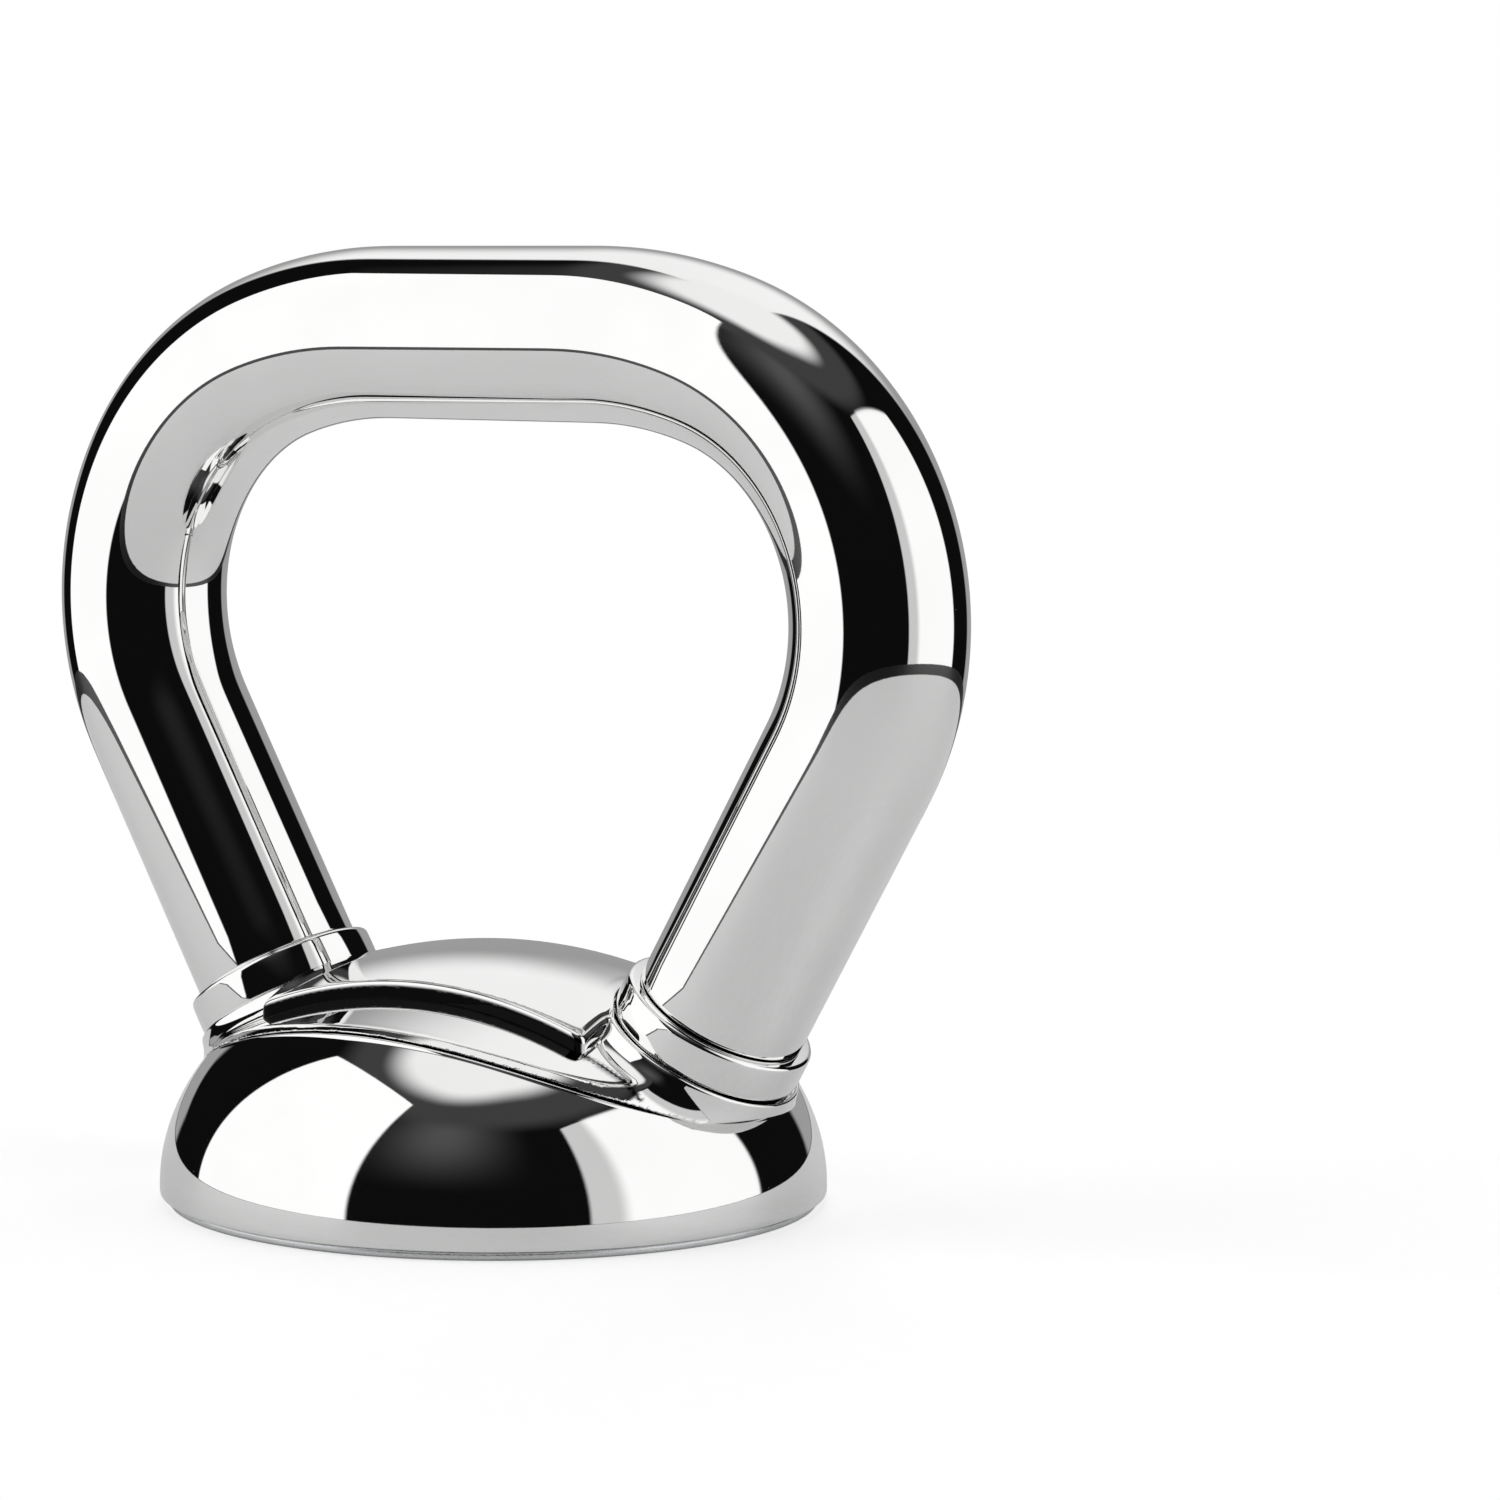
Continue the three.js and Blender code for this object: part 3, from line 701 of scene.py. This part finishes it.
def refined(distance, points, triangles, seen, bend, shortest):
    """Splits the seen edges over which the surface turns more than bend, and draws them on."""
    edges = np.sort(triangles[:, [0, 1, 1, 2, 2, 0]].reshape(-1, 2), axis=1)
    edges, place_of = np.unique(edges, axis=0, return_inverse=True)
    place_of = place_of.reshape(-1, 3)
    normals = normals_of(distance, points)
    turn = (normals[:, edges[:, 0]] * normals[:, edges[:, 1]]).sum(0)
    length = np.linalg.norm(points[:, edges[:, 0]] - points[:, edges[:, 1]], axis=0)
    shown = seen(points)
    split = (turn < math.cos(bend)) & (length > shortest)
    split &= shown[edges[:, 0]] & shown[edges[:, 1]]
    middle = np.full(len(edges), -1)
    middle[split] = points.shape[1] + np.arange(split.sum())
    added = (points[:, edges[split, 0]] + points[:, edges[split, 1]]) / 2
    points = np.concatenate([points, drawn_on(distance, added, 0.4 * length[split])], 1)
    middles = middle[place_of]
    made = []
    for pattern in range(8):
        chosen = ((middles >= 0) @ [1, 2, 4]) == pattern
        corner, centre = triangles[chosen].T, middles[chosen].T
        first = {1: 0, 2: 1, 4: 2, 3: 0, 6: 1, 5: 2}.get(pattern, 0)
        a, b, c = (corner[(first + k) % 3] for k in range(3))
        ab, bc, ca = (centre[(first + k) % 3] for k in range(3))
        cuts = {0: [(a, b, c)], 1: [(a, ab, c), (ab, b, c)],
                2: [(a, ab, c), (ab, b, bc), (ab, bc, c)],
                3: [(a, ab, ca), (ab, b, bc), (ca, bc, c), (ab, bc, ca)]}[bin(pattern).count("1")]
        made += [np.stack(cut, -1) for cut in cuts]
    return points, np.concatenate(made)


def seen_yoke(points):
    """True where the yoke's surface shows above the dome cover's edge."""
    x, y, z = points
    radial, down = leg_coordinates(x, y, z)
    in_socket = (radial < SPIGOT_RADIUS + 1) & (down > NECK_FACE - 0.2)
    return (z > ledge_underside(x) - (1.0 - LEDGE_RIM)) & ~in_socket


def painted_reflection_share(points):
    """Share of painted dark reflection: 1 on the crown's upright side walls, 0 elsewhere."""
    x, y, z = points
    wheel, along = CROWN_WHEEL_RADIUS - CROWN_SHOULDER_DROP, np.minimum(np.abs(x), 20)
    edge = np.sqrt(wheel ** 2 - along ** 2) + CROWN_TOP - CROWN_WHEEL_RADIUS
    below = np.clip((edge - 0.12 - z) / 0.2, 0, 1)
    beside = np.clip((0.3 - np.abs(np.abs(y) - CROWN_HALF_WIDTH)) / 0.1, 0, 1)
    return below * beside * (z > arch(x))


def make_yoke():
    """Crown, ledge, necks and core as one mesh, finest where its visible surface turns."""
    spacing, rise, rounds = ((0.46, 0.22, 3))
    reach, bend, shortest = (32, 29), math.radians(8), 0.07
    points, triangles = polygonised(
        yoke_distance, reach, YOKE_BOTTOM - 1, CROWN_TOP + 1, spacing, rise)
    for _ in range(rounds):
        points, triangles = refined(
            yoke_distance, points, triangles, seen_yoke, bend, shortest)
    normals = normals_of(yoke_distance, points)
    piece = make_mesh("yoke_body", points.T, triangles.tolist(), YOKE_CHROME_DARK_PAINTED, normals=normals.T)
    # The crown's side walls get their painted dark reflection through this attribute.
    shade = piece.data.attributes.new("wall", "FLOAT", "POINT")
    shade.data.foreach_set("value", painted_reflection_share(points).astype(np.float32))
    return piece


# ------------------------------------------------------------------ seat, hub and bearing


def make_seat_plate():
    """The thin fixed washer under the dome, turned, with broken edges."""
    inner_edge, outer_edge = 0.12, 0.2
    profile = rounded([(SEAT_BORE, 0.0), (SEAT_RADIUS, 0.0), (SEAT_RADIUS, SEAT_TOP),
                       (SEAT_BORE, SEAT_TOP)],
                      [inner_edge, outer_edge, outer_edge, inner_edge], steps=4)
    return turned("seat_washer", profile, STEEL)


def make_hub():
    """The fixed core: a flanged bush whose bore carries a true helical thread."""
    sides, per_turn = 144, 20
    outside = rounded([(THREAD_MOUTH, 0.0), (HUB_RADIUS, 0.0), (HUB_RADIUS, FLANGE_BOTTOM),
                       (FLANGE_RADIUS, FLANGE_BOTTOM), (FLANGE_RADIUS, HUB_TOP),
                       (THREAD_MOUTH, HUB_TOP)], [0, 0.3, 0.3, 0.3, 0.4, 0], steps=4)[1:-1]
    count = int(HUB_TOP / THREAD_PITCH * per_turn)
    heights = np.linspace(HUB_TOP, 0.0, count)
    angle = np.linspace(0, 2 * math.pi, sides, endpoint=False)
    turn = (heights / THREAD_PITCH - angle[:, None] / (2 * math.pi)) % 1.0
    ramp = np.clip((np.abs(turn - 0.5) - 0.09) / 0.30, 0, 1)
    bore = THREAD_MINOR + (THREAD_MAJOR - THREAD_MINOR) * ramp
    mouth = THREAD_MOUTH - np.minimum(heights, HUB_TOP - heights)
    bore = np.maximum(bore, mouth)
    radius = np.concatenate([np.broadcast_to(outside[:, 0], (sides, len(outside))), bore], 1)
    height = np.concatenate([outside[:, 1], heights])
    points = np.stack([radius * np.cos(angle)[:, None], radius * np.sin(angle)[:, None],
                       np.broadcast_to(height, radius.shape)], -1)
    faces = grid_faces(sides, len(height), True, True)
    return make_mesh("tapped_hub", points.reshape(-1, 3), faces, STEEL, crease=math.radians(35))


def make_race(name, bottom, top):
    """A race with the balls' groove turned into the face that is turned to them."""
    up = 1 if bottom > BALL_HEIGHT else -1
    face = bottom if up > 0 else top
    groove = math.acos((face - BALL_HEIGHT) / GROOVE_RADIUS * up)
    swing = np.linspace(-groove, groove, 15)
    arc = [(BALL_PITCH_RADIUS + GROOVE_RADIUS * math.sin(a), BALL_HEIGHT
            + up * GROOVE_RADIUS * math.cos(a)) for a in swing]
    if up > 0:
        profile = [(RACE_INNER, bottom)] + arc + [(RACE_OUTER, bottom), (RACE_OUTER, top),
                                                  (RACE_INNER, top)]
    else:
        profile = [(RACE_INNER, bottom), (RACE_OUTER, bottom), (RACE_OUTER, top)]
        profile += arc[::-1] + [(RACE_INNER, top)]
    return turned(name, profile, HARD, sides=128, crease=math.radians(25))


def make_ball(name, place_angle):
    """A ball as a cube's grid blown up onto a sphere, so that no pole shows."""
    cells = 10
    side = np.tan(np.linspace(-math.pi / 4, math.pi / 4, cells + 1))
    u, v = np.meshgrid(side, side, indexing="ij")
    points, faces = [], []
    for axis in range(3):
        for sign in (-1, 1):
            face = np.zeros((cells + 1, cells + 1, 3))
            face[..., axis] = sign
            face[..., (axis + 1) % 3] = u * sign
            face[..., (axis + 2) % 3] = v
            start = len(points) * (cells + 1) ** 2
            points.append(face.reshape(-1, 3))
            faces += [[start + k for k in quad]
                      for quad in grid_faces(cells + 1, cells + 1, False, False)]
    points = np.concatenate(points)
    points /= np.linalg.norm(points, axis=1)[:, None]
    keys, merged = np.unique(points.round(6), axis=0, return_inverse=True)
    faces = np.asarray(merged).reshape(-1)[np.array(faces)].tolist()
    centre = [BALL_PITCH_RADIUS * math.cos(place_angle), BALL_PITCH_RADIUS * math.sin(place_angle),
              BALL_HEIGHT]
    return make_mesh(name, keys * BALL_RADIUS + centre, faces, HARD)


def make_closing_screw(name, place_angle):
    """A socket-headed screw, head down: rounded edge, hexagon socket, plain shank."""
    sides, head, shank, socket = 48, 2.3, 1.3, 1.25
    bottom, seat, top = 1.0, 2.5, 7.5
    angle = np.linspace(0, 2 * math.pi, sides, endpoint=False)
    half_side = math.pi / 6
    flat = np.cos((angle + half_side) % (2 * half_side) - half_side)
    hexagon = socket * math.cos(half_side) / flat
    plain = np.ones(sides)
    rings = [(hexagon * 0.02, bottom + 1.2), (hexagon, bottom + 1.2), (hexagon, bottom + 0.06),
             (hexagon * 1.05, bottom), (plain * (head - 0.2), bottom),
             (plain * (head - 0.05), bottom + 0.06), (plain * head, bottom + 0.2),
             (plain * head, seat), (plain * shank, seat), (plain * shank, top - 0.3),
             (plain * (shank - 0.3), top), (plain * 0.02, top)]
    cosine, sine = np.cos(angle), np.sin(angle)
    points = np.stack([np.stack([r * cosine, r * sine, np.full(sides, z)], -1)
                       for r, z in rings], 1)
    points += [SCREW_PITCH_RADIUS * math.cos(place_angle),
               SCREW_PITCH_RADIUS * math.sin(place_angle), 0]
    faces = grid_faces(sides, len(rings), True, False)
    floor = [i * len(rings) for i in range(sides)][::-1]
    end = [i * len(rings) + len(rings) - 1 for i in range(sides)]
    return make_mesh(name, points.reshape(-1, 3), faces + [floor, end], HARD,
                     crease=math.radians(30))


# ------------------------------------------------------------------ stage


def make_floor():
    """A round pale table top.  Polished metal shows its edge as a dark line, and a painted
    shadow under the object's foot; seen directly it is as white as the backdrop."""
    angle = np.linspace(0, 2 * math.pi, 256, endpoint=False)
    corners = [(TABLE_RADIUS * math.cos(a), TABLE_RADIUS * math.sin(a), 0) for a in angle]
    material, nodes = new_material("pale_floor_look")
    seen = nodes.node("ShaderNodeLightPath").outputs["Is Camera Ray"]
    place_on = nodes.node("ShaderNodeTexCoord").outputs["Object"]
    radius = nodes.node("ShaderNodeVectorMath", {0: place_on}, operation="LENGTH").outputs["Value"]
    # Painted shadow: the floor is darker towards the object's foot for every ray but the camera's.
    foot = nodes.step(radius, FOOT_SHADE * 0.92 * MM, FOOT_SHADE * MM)
    edge = (TABLE_RADIUS - TABLE_EDGE) * MM
    even = nodes.math("MULTIPLY", foot, nodes.step(radius, edge, edge * 1.01, 1.0, 0.0))
    bright = nodes.math("MAXIMUM", seen, even)
    grain = nodes.noise(400.0, 3.0)
    tone = nodes.math("MULTIPLY", bright, nodes.step(grain, 0.3, 0.7, 0.73, 0.76))
    colour = nodes.node("ShaderNodeCombineColor", {0: tone, 1: tone, 2: tone}).outputs[0]
    shaded = nodes.node("ShaderNodeBsdfPrincipled", {"Base Color": colour, "Roughness": 0.6})
    glow = nodes.math("MULTIPLY", bright, nodes.step(seen, 0.0, 1.0, 0.2, 0.62))
    lift = nodes.node("ShaderNodeEmission", {"Color": (1, 1, 1, 1), "Strength": glow})
    both = nodes.node("ShaderNodeAddShader", {0: shaded.outputs[0], 1: lift.outputs[0]})
    nodes.node("ShaderNodeOutputMaterial", {"Surface": both.outputs[0]})
    floor = make_mesh("pale_floor", corners, [tuple(range(len(corners)))], material)


def make_studio():
    """Soft boxes, ceiling, dark flags and white backdrop, drawn on the sky by direction."""
    world = bpy.data.worlds.new("studio")
    bpy.context.scene.world = world
    world.use_nodes = True
    nodes = Nodes(world.node_tree)
    turned_by = math.radians(VIEW_AZIMUTH)
    ray = nodes.node("ShaderNodeTexCoord").outputs["Generated"]
    rotated = nodes.node("ShaderNodeVectorRotate", {"Vector": ray, "Angle": -turned_by},
                         rotation_type="Z_AXIS").outputs[0]
    parts = nodes.node("ShaderNodeSeparateXYZ", {0: rotated}).outputs
    x, y, z = parts[0], parts[1], parts[2]

    def window(value, low, high, soft):
        rise = nodes.step(value, low - soft, low + soft)
        fall = nodes.step(value, high - soft, high + soft, 1.0, 0.0)
        return nodes.math("MULTIPLY", rise, fall)

    def panel(azimuth, left, right, bottom, top, soft=0.02):
        """A flat panel facing the object: its centre's azimuth, edges as tangents."""
        a = math.radians(azimuth)
        ahead = nodes.math("ADD", nodes.math("MULTIPLY", x, math.sin(a)),
                           nodes.math("MULTIPLY", y, -math.cos(a)))
        aside = nodes.math("ADD", nodes.math("MULTIPLY", x, math.cos(a)),
                           nodes.math("MULTIPLY", y, math.sin(a)))
        far = nodes.math("MAXIMUM", ahead, 0.001)
        across = nodes.math("DIVIDE", aside, far)
        up = nodes.math("DIVIDE", z, far)
        return nodes.math("MULTIPLY", window(across, left, right, soft),
                          window(up, bottom, top, soft))

    azimuth = nodes.math("MULTIPLY", nodes.math("ARCTAN2", x, nodes.math("MULTIPLY", y, -1.0)),
                         180 / math.pi)
    height = nodes.math("MULTIPLY", nodes.math("ARCSINE", z), 180 / math.pi)
    back = nodes.math("ABSOLUTE", azimuth)

    def lit(level, mask, strength):
        """Where the mask is 1, the level becomes the strength."""
        mixed = nodes.node("ShaderNodeMix", {0: mask, 2: level, 3: strength}, data_type="FLOAT")
        return mixed.outputs[0]

    glow = nodes.math("MULTIPLY", window(azimuth, -38.0, -8.0, 26.0),
                      window(height, 40.0, 60.0, 22.0))
    upper_band = nodes.step(height, 52.0, 60.0)
    left_box = panel(-72, -1.15, 0.384, -0.6, 2.0)
    right_box = panel(55, -0.404, 1.11, -0.6, 1.4)
    right_box_middle = panel(55, -0.16, 1.11, -0.6, 1.4, 0.06)
    on_left = nodes.step(azimuth, 5.0, -5.0)
    flag_edge = nodes.math("MULTIPLY_ADD", on_left,
                           nodes.step(height, 3.0, 9.0, 7.0, 15.0), 141.0)
    backdrop = nodes.step(nodes.math("SUBTRACT", back, flag_edge), -2.0, 2.0)
    backdrop_shade = nodes.step(height, 16.0, 42.0, 0.34, 0.95)
    over_ceiling_edge = nodes.math("SUBTRACT", height,
                                   nodes.step(azimuth, -40.0, 20.0, 65.0, 69.0))
    ceiling = nodes.step(over_ceiling_edge, -1.0, 8.0)
    ground = nodes.step(height, -16.0, -20.0)

    level = lit(0.004, glow, 0.15)
    level = lit(level, upper_band, 0.05)
    level = lit(level, left_box, 1.08)
    level = lit(level, right_box, 0.62)
    level = lit(level, right_box_middle, 1.05)
    level = lit(level, backdrop, backdrop_shade)
    level = lit(level, ceiling, 0.92)
    level = lit(level, ground, 0.66)
    seen = nodes.node("ShaderNodeLightPath").outputs["Is Camera Ray"]
    level = lit(level, seen, 1.0)
    sky = nodes.node("ShaderNodeBackground", {"Color": (1, 1, 1, 1), "Strength": level})
    nodes.node("ShaderNodeOutputWorld", {"Surface": sky.outputs[0]})


def make_camera():
    """Front right and a little above, with a long lens shifted to the object's place."""
    elevation, distance = 6.361, 449.667
    a, e = math.radians(VIEW_AZIMUTH), math.radians(elevation)
    back = Vector((math.sin(a) * math.cos(e), -math.cos(a) * math.cos(e), math.sin(e)))
    aim = Vector((0, 0, 35.0))
    data = bpy.data.cameras.new("camera")
    data.lens = 120.735
    data.sensor_width = 36.0
    data.shift_x = 0.17108
    data.shift_y = 0.04054
    data.clip_start = 0.01
    data.clip_end = 100
    camera = bpy.data.objects.new("camera", data)
    bpy.context.scene.collection.objects.link(camera)
    camera.location = (aim + back * distance) * MM
    camera.rotation_mode = "QUATERNION"
    camera.rotation_quaternion = (-back).to_track_quat("-Z", "Y")
    bpy.context.scene.camera = camera
    bpy.context.scene.view_settings.view_transform = "Standard"


# ------------------------------------------------------------------ the pieces


def angle_of(node):
    """The angle about Z at which a CAD node lies."""
    low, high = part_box(node)
    middle = (low + high) / 2
    return math.atan2(middle.y, middle.x)


make_camera()
place(make_bail(), "head", "polished_chrome", "bail")
place(make_collar("left_collar_ring", -1), "head", "polished_chrome", "left_collar")
place(make_collar("right_collar_ring", 1), "head", "polished_chrome", "right_collar")
place(make_dome_shell(), "head", "polished_chrome", "dome_shell")
place(make_yoke(), "head", "polished_chrome", "yoke")

place(make_seat_plate(), "base", "turned_steel", "seat_plate")
place(make_hub(), "base", "turned_steel", "threaded_hub")
place(make_race("upper_race_ring", *UPPER_RACE), "base", "hardened_steel", "upper_race")
place(make_race("lower_race_ring", *LOWER_RACE), "head", "hardened_steel", "lower_race")
for i in range(1, BALL_COUNT + 1):
    node = f"bearing_ball_{i:02d}"
    ball = make_ball(f"steel_ball_{i:02d}", angle_of(node))
    place(ball, "ball_ring", "hardened_steel", node)
for i in range(1, SCREW_COUNT + 1):
    node = f"closing_screw_{i}"
    screw = make_closing_screw(f"cap_screw_{i}", angle_of(node))
    place(screw, "head", "hardened_steel", node)

# The CAD solids keep their shape, and take the look of their slot.
LOOKS = {"polished_chrome": CHROME, "turned_steel": STEEL, "hardened_steel": HARD,
         "brass": BRASS, "seal_rubber": RUBBER}
for part in frame["record"]["subparts"]:
    solid = frame["nodes"][part["node"]]
    solid.data.materials.clear()
    solid.data.materials.append(LOOKS[part["material_slot"]])

make_floor()
make_studio()
